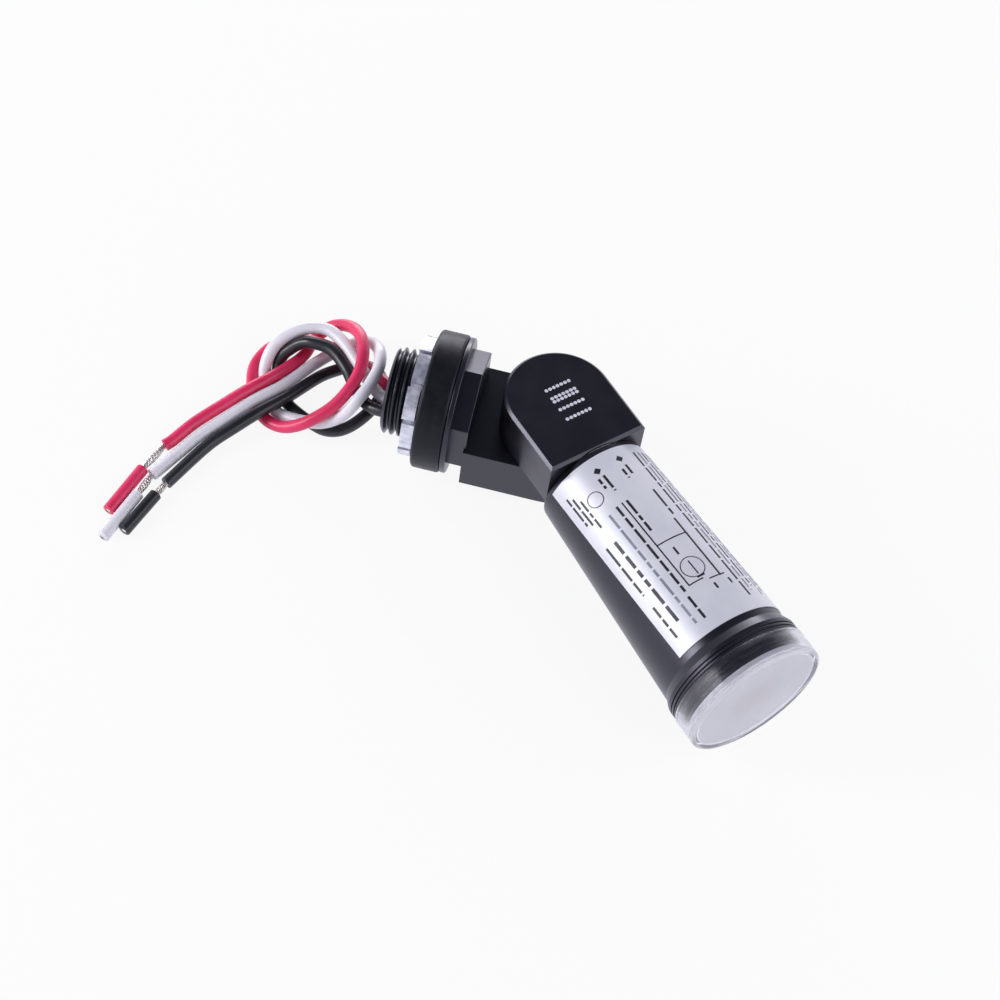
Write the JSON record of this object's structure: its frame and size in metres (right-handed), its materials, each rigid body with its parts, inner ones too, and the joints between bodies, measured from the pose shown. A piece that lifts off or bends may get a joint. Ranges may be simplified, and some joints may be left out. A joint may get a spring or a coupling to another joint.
{
  "type": "photocell switch",
  "caption": "Stem-mount swivel photocell switch: tapered black head with a clear lens cap on a half-lap swivel, threaded stem with gasket and locknut, knotted red, white and black leads",
  "frame": {"origin": "on the stem axis, in the plane of the gasket face that seals on the box wall", "axes": "+X along the stem, out of the box towards the swivel; +Z along the swivel axis; the head is turned towards -Y at rest"},
  "size_m": [0.1672, 0.0922, 0.034],
  "materials": {
    "black_plastic": "satin moulded thermoplastic",
    "black_rubber": "matte moulded rubber",
    "zinc_steel": "bright zinc plate on pressed steel",
    "spring_steel": "plain spring steel",
    "brass": "drawn brass",
    "label_foil": "printed silver-white film",
    "white_plastic": "moulded white plastic",
    "cell_ceramic": "sintered light-sensitive layer on ceramic",
    "clear_plastic": "polished clear acrylic",
    "board_green": "coated fibreglass laminate",
    "relay_case": "moulded sealed case",
    "varistor_coat": "dipped epoxy",
    "film_case": "moulded plastic box",
    "capacitor_sleeve": "shrunk sleeve on an aluminium can",
    "black_epoxy": "moulded epoxy",
    "resistor_coat": "lacquered body with colour bands",
    "inner_insulation": "extruded insulation",
    "red_insulation": "extruded insulation",
    "white_insulation": "extruded insulation",
    "black_insulation": "extruded insulation",
    "tinned_strands": "tinned copper strands"
  },
  "bodies": {
    "stem": {"swivel_stem": "black_plastic", "gasket": "black_rubber", "pivot_eyelet": "brass", "swivel_seal": "black_rubber", "stem_leads": "inner_insulation", "lead_red": "red_insulation", "lead_white": "white_insulation", "lead_black": "black_insulation", "strands_red": "tinned_strands", "strands_white": "tinned_strands", "strands_black": "tinned_strands", "lead_tip_red": "red_insulation", "lead_tip_white": "white_insulation", "lead_tip_black": "black_insulation"},
    "locknut": {"locknut": "zinc_steel"},
    "head": {"head_shell": "black_plastic", "label": "label_foil", "lens_seal": "black_rubber", "sensor_plate": "white_plastic", "photocell": "cell_ceramic", "lens": "clear_plastic", "circuit_board": "board_green", "relay": "relay_case", "surge_varistor": "varistor_coat", "film_capacitor": "film_case", "filter_capacitor": "capacitor_sleeve", "transistor": "black_epoxy", "rectifier_diodes": "black_epoxy", "resistors": "resistor_coat", "head_leads": "inner_insulation", "spring_washer": "spring_steel"}
  },
  "joints": [
    {"name": "head_swivel", "type": "hinge", "parent": "stem", "child": "head", "pos_m": [0.0306, 0, 0], "axis": [0, 0, 1], "range_deg": [-45, 135]},
    {"name": "locknut_travel", "type": "slide", "parent": "stem", "child": "locknut", "axis": [-1, 0, 0], "range_m": [0, 0.0045]}
  ]
}
